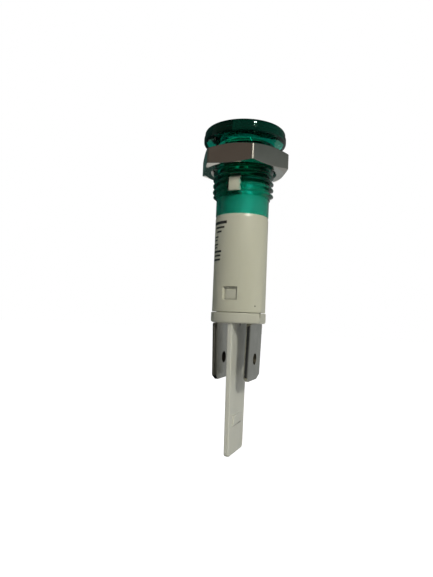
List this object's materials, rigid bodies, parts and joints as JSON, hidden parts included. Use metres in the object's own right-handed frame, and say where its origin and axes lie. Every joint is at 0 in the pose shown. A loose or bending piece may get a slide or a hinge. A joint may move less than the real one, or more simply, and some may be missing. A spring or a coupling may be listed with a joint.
{
  "type": "panel pilot light",
  "caption": "Slim panel pilot light with a green lens, threaded barrel, hex nut, ivory body, flat push-on tabs and a separator tongue between them.",
  "frame": {"origin": "on the lamp's axis, in the underside of the head, which seats on the front of the panel", "axes": "+Z along the axis towards the lens face; +X square to the flat sides of the tabs; -Y towards the front pair of snap windows"},
  "size_m": [0.015, 0.0134, 0.0517],
  "materials": {
    "green_lens": "clear green polycarbonate, moulded and glossy",
    "plated_steel": "nickel plated steel, drawn hexagon bar",
    "ivory_body": "ivory nylon, moulded, satin",
    "ivory_cap": "ivory nylon, moulded, satin",
    "tinned_brass": "tin plated brass sheet, folded and stamped",
    "lamp_glass": "clear glass, sealed",
    "lead_wire": "tinned wire",
    "ferrule": "tinned brass tube, crimped",
    "resistor_lacquer": "ceramic rod under beige lacquer",
    "shrink_tube": "black shrink tube",
    "lead_tube": "white silicone tube",
    "solder": "soft solder, satin"
  },
  "bodies": {
    "lamp": {"lens_barrel": "green_lens", "body_tube": "ivory_body", "end_cap": "ivory_cap", "tab_left": "tinned_brass", "tab_right": "tinned_brass", "neon_lamp": "lamp_glass", "lamp_lead_left": "lead_wire", "lamp_lead_right": "lead_wire", "crimp_ferrule": "ferrule", "resistor_lead_upper": "lead_wire", "series_resistor": "resistor_lacquer", "resistor_lead_lower": "lead_wire", "shrink_sleeve": "shrink_tube", "lead_sleeve": "lead_tube", "solder_joint_left": "solder", "solder_joint_right": "solder"},
    "nut": {"hex_nut": "plated_steel"}
  },
  "joints": [
    {"name": "nut_travel", "type": "slide", "parent": "lamp", "child": "nut", "axis": [0, 0, -1], "range_m": [-0.0015, 0.0041]}
  ]
}
